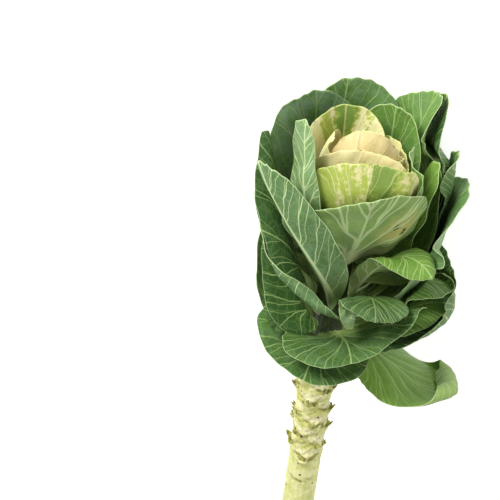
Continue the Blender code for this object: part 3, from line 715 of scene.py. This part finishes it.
def rim_form(number, side, rise, near_rim):
    """How far the notches draw the rim in, and its ripples."""
    phases = np.random.default_rng(RIM_SEED + number).uniform(0.0, TURN, 3)
    round_rim = np.arctan2(side, rise + RIM_MIDDLE)
    notches = 0.5 + 0.5 * np.sin(NOTCH_WAVES * round_rim + 3.0 * np.sin(4.0 * round_rim + phases[0]))
    ripples = np.sin(RIPPLE_WAVES * round_rim + phases[1])
    ripples = ripples + SLOW_RIPPLE * np.sin(SLOW_WAVES * round_rim + phases[2])
    return 1.0 - NOTCH * notches * near_rim, RIPPLE * ripples * near_rim


def pucker_depth(leaf, phase, side, share, rim_place):
    """How deep the blade puckers between its veins."""
    pucker = np.sin(math.pi * phase) ** 2 * smooth_step(np.abs(side) / PUCKER_FADE)
    pucker = pucker * smooth_step((1.0 - rim_place) / PUCKER_FADE)
    pucker = pucker * smooth_step((share - PUCKER_FROM) / PUCKER_OVER)
    return PUCKER * pucker * min(1.0, leaf.spread / PUCKER_SPREAD)


def rib_height(off_rib, share):
    """How far the midrib stands out."""
    rib = RIB_TALL * np.exp(-(off_rib / np.maximum(RIB_WIDE * (RIB_NARROWS - share), RIB_LEAST)) ** 2)
    return rib * smooth_step((1.0 - share) / RIB_ENDS)


def dressed_leaf(leaf, number, inside, cells, materials):
    """One leaf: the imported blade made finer, with a notched rippled rim, puckers, ribs and vein places."""
    steps = np.linspace(-1.0, 1.0, cells + 1)
    across, along = np.meshgrid(steps, steps)
    side, rise = square_to_blade(across, along)
    share = (rise + 1.0) / 2.0
    rim_place = np.maximum(np.abs(across), along)
    near_rim = smooth_step((rim_place - 1.0 + NEAR_RIM) / NEAR_RIM) * smooth_step(share * 3.0 - 0.3)
    drawn_in, ripples = rim_form(number, side, rise, near_rim)

    def bent(inset):
        turn, out, height = pressed_blade(leaf, number, inside, across * inset, along * inset)
        return laid_down(upright(turn, out + ripples, height))

    middle = bent(drawn_in)
    normals = grid_normals(middle)
    beside = beside_rib(middle)
    veins = vein_places(leaf, side, share, *beside[:2], number)
    middle = middle - normals * pucker_depth(leaf, veins[0], side, share, rim_place)[..., None]
    half_wide = np.linalg.norm(np.gradient(middle, axis=1), axis=-1) * cells / 2.0
    off_rib = np.abs(side) * half_wide
    size = half_wide.max()
    if leaf.name in ROLLS:
        drawn = bent(drawn_in * ROLL_INSET)
        add_roll(leaf, number, middle, drawn, normals, side, share, size, beside, materials)
    rib = rib_height(off_rib, share)
    half = BLADE_THICK / 2.0 * (1.0 - RIM_THIN * smooth_step((rim_place - 1.0 + RIM_THINS) / RIM_THINS))
    values = tone_values(leaf, number, side, share)
    values["off_rib"] = off_rib
    values["to_rim"] = (1.0 - rim_place) * size
    made = shell(leaf.name + "_blade", middle, normals, half, rib, materials, veins, side, share, values)
    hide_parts(leaf.name)
    return made


class Shade:
    """A number or colour that a material's nodes work out; numbers can be reckoned with."""

    def __init__(self, socket):
        self.socket = socket
        self.tree = socket.id_data

    def __add__(self, other):
        return reckon("ADD", self, other)

    def __sub__(self, other):
        return reckon("SUBTRACT", self, other)

    def __rsub__(self, other):
        return reckon("SUBTRACT", other, self)

    def __mul__(self, other):
        return reckon("MULTIPLY", self, other)


def plug(socket, value):
    """Set a node's input to a number or colour, or join it to what another node works out."""
    if isinstance(value, Shade):
        value.tree.links.new(value.socket, socket)
    elif isinstance(value, tuple):
        socket.default_value = (*value, 1.0)
    else:
        socket.default_value = value


def worked_out(tree, kind, inputs, output=0, **settings):
    """What a new node works out from its inputs."""
    made = tree.nodes.new("ShaderNode" + kind)
    for name, setting in settings.items():
        setattr(made, name, setting)
    for place, value in inputs.items():
        plug(made.inputs[place], value)
    return Shade(made.outputs[output])


def reckon(operation, *values):
    """One sum, at least one of whose values is worked out by nodes."""
    tree = next(value.tree for value in values if isinstance(value, Shade))
    return worked_out(tree, "Math", dict(enumerate(values)), operation=operation)


def eased(value, low, high):
    """Ease from 0 to 1 as a value goes from low to high."""
    inputs = {"Value": value, "From Min": low, "From Max": high}
    return worked_out(value.tree, "MapRange", inputs, interpolation_type="SMOOTHSTEP")


def painted(colour, *coats):
    """A colour with coats of other colours over it, each by its share."""
    for share, coat in coats:
        inputs = {0: share, 6: colour, 7: coat}
        colour = worked_out(share.tree, "Mix", inputs, 2, data_type="RGBA")
    return colour


def corner_places(tree, name):
    """The two coordinates stored at the face corners."""
    places = worked_out(tree, "UVMap", {}, uv_map=name)
    return [worked_out(tree, "SeparateXYZ", {0: places}, output) for output in (0, 1)]


def stored(tree, name):
    """A number stored at the vertices."""
    return worked_out(tree, "Attribute", {}, "Fac", attribute_name=name)


def on_object(tree, size_mm):
    """Places on the object, at a scale that makes cells and blotches about this size."""
    return {"Vector": worked_out(tree, "TexCoord", {}, "Object"), "Scale": 1.0 / (size_mm * MM)}


def mottle(tree, size_mm, detail=2.0, rough=0.5):
    """Cloudy noise."""
    return worked_out(tree, "TexNoise", {**on_object(tree, size_mm), "Detail": detail, "Roughness": rough})


def net_lines(tree, size_mm):
    """A mask of the lines of a net."""
    away = worked_out(tree, "TexVoronoi", on_object(tree, size_mm), "Distance", feature="DISTANCE_TO_EDGE")
    return 1.0 - eased(away, 0.0, NET_LINE)


def line_at(place, middle, wide):
    """A soft line where a place, counted round a cell from 0 to 1, is near a middle."""
    away = reckon("PINGPONG", place - middle, 0.5)
    return 1.0 - eased(away, wide * LINE_CORE, wide)


def vein_lines(tree):
    """A mask of the veins that fan out along the leaf, each forking once or twice on its way."""
    phase, reach = corner_places(tree, "veins")
    step = stored(tree, "vein_step")
    bends = mottle(tree, *VEIN_BENDS) - 0.5
    phase = phase + bends * reckon("MINIMUM", step * BEND_STEPS, MOST_BEND)
    cell = reckon("ROUND", phase) + stored(tree, "luck")
    luck = worked_out(tree, "TexWhiteNoise", {"W": cell}, "Value", noise_dimensions="1D")
    wide = (VEIN_WIDE - reach * VEIN_TAPER) * stored(tree, "thick") * step
    veins = line_at(phase, 0.0, wide)
    for fork in FORKS:
        start = luck * fork.luck + fork.start
        aside = eased(reach, start, start + fork.over) * fork.aside
        branch = line_at(phase, aside, wide * FORK_WIDE) * eased(reach, start, start + FORK_BEGINS)
        veins = reckon("MAXIMUM", veins, branch)
    return veins


def rib_line(tree, base_wide):
    """A mask of the midrib, broad at the petiole and fine at the tip, in millimetres."""
    share = corner_places(tree, "blade")[1]
    narrowing = reckon("POWER", 1.0 - share, RIB_NARROWING)
    wide = narrowing * (base_wide - RIB_TIP) + RIB_TIP
    return 1.0 - eased(stored(tree, "off_rib"), wide * RIB_CORE, wide)


def leaf_colour(tree, palette, veins, net):
    """The colour of one face of a leaf, from its stored tone, clouds, wax, net and veins."""
    share = corner_places(tree, "blade")[1]
    # The stored light and wax are partly the leaf's own tone and bloom and partly painted light, raised on
    # leaves that lie in shade
    light = stored(tree, "light") + (mottle(tree, *TONE_CLOUDS) - 0.5) * TONE_CLOUDED
    near_base = 1.0 - eased(share, 0.1, 0.5)
    warm = reckon("MAXIMUM", stored(tree, "warm"), near_base * WARM_BASE)
    scorch = stored(tree, "scorch") * (mottle(tree, *SCORCH_CLOUDS) + 0.4)
    return painted(
        palette.deep,
        (eased(light, -0.1, 1.1), palette.light),
        (warm * (mottle(tree, *WARM_CLOUDS) + 0.6), palette.warm),
        ((1.0 - eased(share, 0.12, 0.55)) * stored(tree, "pale_base"), BASE_CREAM),
        (eased(mottle(tree, *WAX_CLOUDS), 0.3, 0.75) * stored(tree, "wax"), palette.wax),
        (eased(scorch, 0.25, 0.75), SCORCH_PALE),
        (eased(scorch, 0.93, 0.99), SCORCH_BROWN),
        (net * palette.net_share, palette.vein),
        (veins * palette.vein_share, palette.vein),
    )


def streaked(tree, colour, veins):
    """Ragged green and yellow-green streaks that run with the veins over a cream leaf."""
    phase, reach = corner_places(tree, "veins")
    along = {0: phase * STREAK_ACROSS, 1: reach * STREAK_ALONG, 2: stored(tree, "luck")}
    places = worked_out(tree, "CombineXYZ", along)
    grain = worked_out(tree, "TexNoise", {"Vector": places, "Scale": 1.0, "Detail": 4.0})
    green = stored(tree, "green")
    ragged = (grain + mottle(tree, *STREAK_CLOUDS) - 1.0) * STREAK_RAGGED + green
    ragged = ragged * eased(green, 0.05, 0.3)
    pale_veins = 1.0 - veins * 0.7
    yellow = eased(ragged, 0.10, 0.50) * (pale_veins + 0.4) * 0.75
    greener = eased(ragged, 0.35, 0.85) * pale_veins * (1.0 - stored(tree, "yellow"))
    return painted(colour, (yellow, STREAK_YELLOW), (greener, STREAK_GREEN))


def new_material(name):
    """A material and its tree of nodes."""
    material = bpy.data.materials.new(name)
    material.use_nodes = True
    return material, material.node_tree


def finish_skin(tree, colour, roughness, relief, deep_mm, strength=1.0):
    """Give a surface its colour, roughness and fine relief."""
    surface = tree.nodes["Principled BSDF"]
    inputs = {"Height": relief, "Distance": deep_mm * MM, "Strength": strength}
    plug(surface.inputs["Base Color"], colour)
    plug(surface.inputs["Roughness"], roughness)
    plug(surface.inputs["Normal"], worked_out(tree, "Bump", inputs, "Normal"))


def leaf_material(name, palette, with_streaks=False):
    """The skin of one face of a leaf."""
    material, tree = new_material(name)
    share = corner_places(tree, "blade")[1]
    net = reckon("MAXIMUM", net_lines(tree, WIDE_NET), net_lines(tree, FINE_NET) * 0.5)
    veins = reckon("MAXIMUM", vein_lines(tree), rib_line(tree, palette.rib))
    rim = (1.0 - eased(stored(tree, "to_rim"), 0.15, 0.75)) * eased(share, 0.15, 0.4)
    colour = leaf_colour(tree, palette, veins, net)
    coats = [(rim * 0.7, palette.rim)]
    if with_streaks:
        colour = streaked(tree, colour, veins)
        spots = eased(mottle(tree, *RIM_SPOTS), 0.60, 0.70) * eased(rim, 0.0, 0.3)
        coats.append((spots * 0.8, RIM_SPOT))
    tree.nodes["Principled BSDF"].inputs["Specular IOR Level"].default_value = LEAF_SPECULAR
    finish_skin(tree, painted(colour, *coats), palette.gloss, veins * 0.6 + net * 0.2, 0.4, 0.6)
    return material


def stalk_material():
    """Pale yellow-green skin, torn faces and brown crescents at the scars, dark specks, painted shade up
    among the leaves.
    """
    material, tree = new_material("stalk_skin_look")
    shredded, crescent = stored(tree, "shredded"), stored(tree, "crescent")
    grain = eased(mottle(tree, *STALK_GRAIN), 0.52, 0.7) * (shredded * 0.5 + 0.3)
    far = worked_out(tree, "TexVoronoi", on_object(tree, SPECK_SPACING), "Distance")
    colour = painted(
        STALK_GREEN,
        (eased(mottle(tree, *STALK_CLOUDS), 0.3, 0.7), STALK_PALE),
        # Painted shade: the stalk darkened where it runs up among the leaves
        (stored(tree, "painted_shade_among_leaves"), STALK_SHADED),
        (eased(mottle(tree, *YELLOW_CLOUDS), 0.42, 0.6) * shredded * 0.8, STALK_YELLOW),
        (stored(tree, "torn") * 0.8, STALK_TORN),
        (grain, STALK_OLIVE),
        (crescent * 0.8, STALK_OLIVE),
        (eased(mottle(tree, *BROWN_CLOUDS), 0.42, 0.62) * crescent, STALK_BROWN),
        ((1.0 - eased(far, 0.10, 0.17)) * eased(mottle(tree, *SPECK_CLOUDS), 0.38, 0.5), STALK_SPECK),
    )
    finish_skin(tree, colour, 0.55, mottle(tree, *STALK_BUMPS), 0.6, 0.7)
    return material


def cut_end_material():
    """The cut across the stalk: pale pith, a ring of fibres and a green rind."""
    material, tree = new_material("stalk_cut_look")
    out = stored(tree, "cut_out")
    colour = painted(
        PITH,
        (eased(mottle(tree, *PITH_CLOUDS), 0.35, 0.7), PITH_DARK),
        (eased(out, 0.60, 0.70) * eased(mottle(tree, *FIBRES), 0.4, 0.6), STALK_OLIVE),
        (eased(out, 0.86, 0.95), STALK_GREEN),
    )
    finish_skin(tree, colour, 0.75, mottle(tree, *CUT_BUMPS), 0.4)
    return material


def bud_material():
    """Plain cloudy cream for the growing tip."""
    material, tree = new_material("bud_cream")
    surface = tree.nodes["Principled BSDF"]
    clouds = mottle(tree, *BUD_CLOUDS)
    plug(surface.inputs["Base Color"], painted(HEART_CREAM.warm, (clouds, HEART_CREAM.light)))
    plug(surface.inputs["Roughness"], 0.45)
    return material


def floor_material():
    """A pale matt surface that glows a little."""
    material, tree = new_material("pale_floor")
    looks = {"Base Color": FLOOR_COLOUR, "Roughness": 0.8, "Emission Color": WHITE,
             "Emission Strength": FLOOR_GLOW}
    for name, value in looks.items():
        plug(tree.nodes["Principled BSDF"].inputs[name], value)
    return material


def scar_marks(turn, height, scars):
    """Where the torn faces and the brown crescents under them are."""
    torn, crescent = np.zeros(turn.shape), np.zeros(turn.shape)
    for away, upward in from_scars(turn, height, scars):
        sideways = away / math.radians(MARK_WIDE_DEG)
        bowed = upward - SCAR_BOW * sideways**2
        beside = np.exp(-(sideways**4) / 3.0)
        torn = np.maximum(torn, beside * np.exp(-(((bowed - TORN_UP) / TORN_TALL) ** 2)))
        crescent = np.maximum(crescent, beside * np.exp(-(((bowed - BROWN_UP) / BROWN_TALL) ** 2)))
    return torn, crescent


def stalk_noise(turn, height, scale, seed, waves):
    """Smooth noise that closes round the stalk."""
    return soft_noise(scale * np.sin(turn), 0.9 * height + scale * np.cos(turn), seed, waves)


def ring_faces(rows, sides):
    """Corner numbers of the faces between rings of places, and the row of each face."""
    row, side = np.meshgrid(np.arange(rows), np.arange(sides), indexing="ij")
    low, high, follow = row * sides, (row + 1) * sides, (side + 1) % sides
    corners = np.stack((low + side, low + follow, high + follow, high + side), axis=-1)
    return corners.reshape(-1, 4), row.ravel()


def cut_end_rings(edge, turn, height):
    """The rings of the cut end, from its middle outward, dented like torn pith, and their shares."""
    shares = np.linspace(0.0, 1.0, CUT_RINGS + 1)[:-1, None]
    start = around_axis(shares * edge, turn[:CUT_RINGS], height[0] + 0.0 * shares)
    dents = CUT_ROUGH * soft_noise(start[..., 0] * 0.9, start[..., 1] * 0.9, DENT_SEED, 10)
    start[..., 2] += np.maximum(dents, 0.0)
    return start, np.repeat(shares, STALK_FINE_SIDES, axis=1)


def fine_stalk(materials):
    """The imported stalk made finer, with rough scars, faint lines along it and a fibrous cut end."""
    steps = [np.arange(low, high, gap) for low, high, gap in STALK_FINE]
    heights = np.append(np.concatenate(steps), STALK_TOP)
    turn, height = np.meshgrid(round_turns(STALK_FINE_SIDES), heights)
    ragged = 1.0 + RAGGED_SCARS * stalk_noise(turn, height, 9.0, RAGGED_SEED, 12)
    relief = scar_relief(turn, height, WORN_SCARS) + scar_relief(turn, height, TORN_SCARS) * ragged
    bare = below_leaves(height)
    worn, fresh = (scar_marks(turn, height, scars) for scars in (WORN_SCARS, TORN_SCARS))
    torn = np.maximum(worn[0] * WORN_PALE, fresh[0]) * bare
    crescent = np.maximum(worn[1] * WORN_BROWN, fresh[1]) * bare
    lines = STALK_LINES * np.sin(STALK_LINE_COUNT * turn + 1.5 * np.sin(height / 40.0))
    shredded = bare * smooth_step((height - TORN_SCARS[0]) / SCAR_TALL + 1.0)
    rough = TORN_ROUGH * stalk_noise(turn, height, 8.0, ROUGH_SEED, 14)
    far = stalk_radius(height) + relief * bare + lines - STALK_GROOVE * crescent
    far = far + rough * shredded
    start, out = cut_end_rings(far[0], turn, height)
    end = around_axis(0.0 * far[-1:], turn[-1:], height[-1:])
    grid = np.concatenate((start, around_axis(far, turn, height), end))
    corners, rows = ring_faces(len(grid) - 1, STALK_FINE_SIDES)
    kinds = (rows < CUT_RINGS).astype(int)
    made = fine_mesh("stalk_skin", laid_flat(grid).reshape(-1, 3), corners, materials, kinds)
    before, after = np.zeros(start.shape[:2]), np.zeros(end.shape[:2])
    # Painted shade: 1 where the stalk runs up among the leaves, eased in above the last torn scar
    painted_leaf_shade = smooth_step((height - TORN_SCARS[1] - 2.0) / 10.0)
    kept = {"torn": torn, "crescent": crescent, "painted_shade_among_leaves": painted_leaf_shade, "shredded": shredded}
    kept = {name: np.concatenate((before, value, after)) for name, value in kept.items()}
    kept["cut_out"] = np.concatenate((out, np.ones(turn.shape), after))
    add_values(made.data, kept)
    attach(made, "root")
    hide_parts("stalk")


def torn_stub(number):
    """One ragged rest of a petiole: a small curved flap that stands out from its scar."""
    draw = np.random.default_rng(STUB_SEED + number)
    scar, part = divmod(number, STUBS_A_SCAR)
    middle = scar_height(scar, TORN_SCARS) + draw.uniform(-STUB_STRAY, STUB_STRAY)
    aside = STUB_APART_DEG * (part - (STUBS_A_SCAR - 1) / 2.0)
    aside = aside + draw.uniform(-STUB_STRAY_DEG, STUB_STRAY_DEG)
    turn_to = math.radians(GOLDEN_ANGLE_DEG * scar + aside)
    sideways, rise = np.meshgrid(np.linspace(-1.0, 1.0, STUB_CELLS + 1), np.linspace(0.0, 1.0, STUB_ROWS))
    turn = turn_to + math.radians(STUB_WIDE_DEG) * sideways * (1.0 - 0.25 * rise)
    jags = np.interp(sideways, np.linspace(-1.0, 1.0, STUB_JAGS), draw.uniform(0.1, 1.0, STUB_JAGS) ** 1.5)
    tall = draw.uniform(*STUB_TALL) * jags * (1.0 - 0.6 * sideways**2)
    out = stalk_radius(middle) + TORN_SCARS[3] * STUB_SUNK + tall * rise * (0.9 - 0.3 * rise)
    height = middle - 0.6 + 2.2 * sideways**2 + tall * rise * (0.35 + 0.5 * rise)
    places = around_axis(out, turn, height)
    half = grid_normals(places) * (STUB_THICK - STUB_THINS * rise)[..., None]
    return laid_flat(places + half), laid_flat(places - half), rise


def petiole_stubs(material):
    """The rests of the torn leaves on the upper stalk, in one piece."""
    places, corners, tips, start = [], [], [], 0
    for number in range(TORN_SCARS[2] * STUBS_A_SCAR):
        outer, inner, rise = torn_stub(number)
        faces = np.concatenate(blade_faces(outer.shape[0] - 1, outer.shape[1] - 1))
        places += [outer.reshape(-1, 3), inner.reshape(-1, 3)]
        corners.append(faces + start)
        tips += [rise.ravel(), rise.ravel()]
        start += 2 * rise.size
    corners, tips = np.concatenate(corners), np.concatenate(tips)
    made = fine_mesh("petiole_stubs", np.concatenate(places), corners, [material], np.zeros(len(corners)))
    brown = smooth_step((tips - 0.35) / 0.6)
    plain = 0.0 * tips
    kept = {"torn": plain, "crescent": brown, "painted_shade_among_leaves": plain, "shredded": plain + 1.0}
    add_values(made.data, kept)
    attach(made, "root")


def fine_bud(material):
    """The growing tip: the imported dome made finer, with crumpled folds."""
    turn, rise = np.meshgrid(round_turns(BUD_SIDES), np.linspace(0.0, BUD_CLOSES, BUD_RINGS))
    folds = BUD_FOLD_DEPTH * np.sin(BUD_FOLDS * turn + BUD_TWIST * rise)
    around, twist, upward = BUD_WAVES
    crumple = BUD_CRUMPLE * np.sin(around * turn + twist * rise) * np.sin(upward * rise)
    far = BUD_RADIUS * np.sqrt(1.0 - rise**2) * (1.0 + folds + crumple)
    rings = around_axis(far, turn, BUD_BASE + BUD_HEIGHT * rise)
    middle = np.array((0.0, 0.0, 1.0))
    grid = np.concatenate((rings[:1] * middle, rings, rings[-1:] * middle))
    corners, rows = ring_faces(len(grid) - 1, BUD_SIDES)
    made = fine_mesh("heart_bud_folds", laid_flat(grid).reshape(-1, 3), corners, [material], 0 * rows)
    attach(made, "root")
    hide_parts("heart_bud")


def laid_direction(*direction):
    """A direction of the upright plant, as it points once the plant lies."""
    return Vector(turned(np.array(direction)))


def add_camera():
    """The camera looks down on the lying head from the head's end."""
    rise, roll = math.radians(CAMERA_RISE_DEG), math.radians(CAMERA_ROLL_DEG)
    back = laid_direction(0.0, -math.cos(rise), math.sin(rise))
    level_up = laid_direction(0.0, math.sin(rise), math.cos(rise))
    level_right = laid_direction(1.0, 0.0, 0.0)
    up = level_up * math.cos(roll) - level_right * math.sin(roll)
    right = level_right * math.cos(roll) + level_up * math.sin(roll)
    target = Vector(laid_flat(np.array(CAMERA_TARGET)) * MM + SHIFT)
    camera = bpy.data.objects.new("camera", bpy.data.cameras.new("camera"))
    bpy.context.scene.collection.objects.link(camera)
    placed = Matrix((right, up, back)).transposed().to_4x4()
    placed.translation = target + back * CAMERA_DISTANCE * MM
    camera.matrix_world = placed
    camera.data.sensor_width = SENSOR
    camera.data.lens = SENSOR * CAMERA_DISTANCE / FRAME_WIDE
    bpy.context.scene.camera = camera


def add_soft_light(name, place, size, power):
    """One square studio light."""
    light = bpy.data.lights.new(name, "AREA")
    light.shape = "SQUARE"
    light.size = size
    light.energy = power
    made = bpy.data.objects.new(name, light)
    made.location = place
    made.rotation_mode = "QUATERNION"
    made.rotation_quaternion = (Vector(LIGHTS_AIM) - Vector(place)).to_track_quat("-Z", "Y")
    bpy.context.scene.collection.objects.link(made)


def add_stage():
    """Pale floor, soft lights and a pale surround."""
    bpy.ops.mesh.primitive_plane_add(size=FLOOR_SIZE)
    floor = bpy.context.object
    floor.name = "floor"
    floor.data.materials.append(floor_material())
    for light in LIGHTS:
        add_soft_light(*light)
    world = bpy.data.worlds.new("studio")
    world.use_nodes = True
    background = world.node_tree.nodes["Background"]
    plug(background.inputs["Color"], WHITE)
    plug(background.inputs["Strength"], SURROUND)
    bpy.context.scene.world = world
    bpy.context.scene.view_settings.view_transform = "Standard"


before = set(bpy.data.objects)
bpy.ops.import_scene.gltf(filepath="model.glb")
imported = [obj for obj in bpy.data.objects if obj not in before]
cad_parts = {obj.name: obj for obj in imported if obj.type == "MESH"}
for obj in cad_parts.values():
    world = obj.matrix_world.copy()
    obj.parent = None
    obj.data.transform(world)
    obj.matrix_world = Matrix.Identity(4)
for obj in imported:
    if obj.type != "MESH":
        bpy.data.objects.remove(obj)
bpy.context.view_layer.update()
stalk_corner = laid_flat(packed_stalk_rings()).reshape(-1, 3).min(axis=0) * MM
SHIFT = np.array(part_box("stalk")[0]) - stalk_corner

green_faces = (leaf_material("green_under", UNDER_GREEN), leaf_material("green_upper", UPPER_GREEN))
heart_faces = [leaf_material("heart_cream", HEART_CREAM, with_streaks=True)] * 2
for number, (leaf, inside) in enumerate(layered(HEART_LEAVES + GREEN_LEAVES)):
    heart = number < len(HEART_LEAVES)
    cells = HEART_CELLS if heart else (COVERED_CELLS if leaf.name in COVERED else SHOWN_CELLS)
    made = dressed_leaf(leaf, number, inside, cells, heart_faces if heart else green_faces)
stalk_look = stalk_material()
fine_stalk([stalk_look, cut_end_material()])
petiole_stubs(stalk_look)
fine_bud(bud_material())

add_stage()
add_camera()
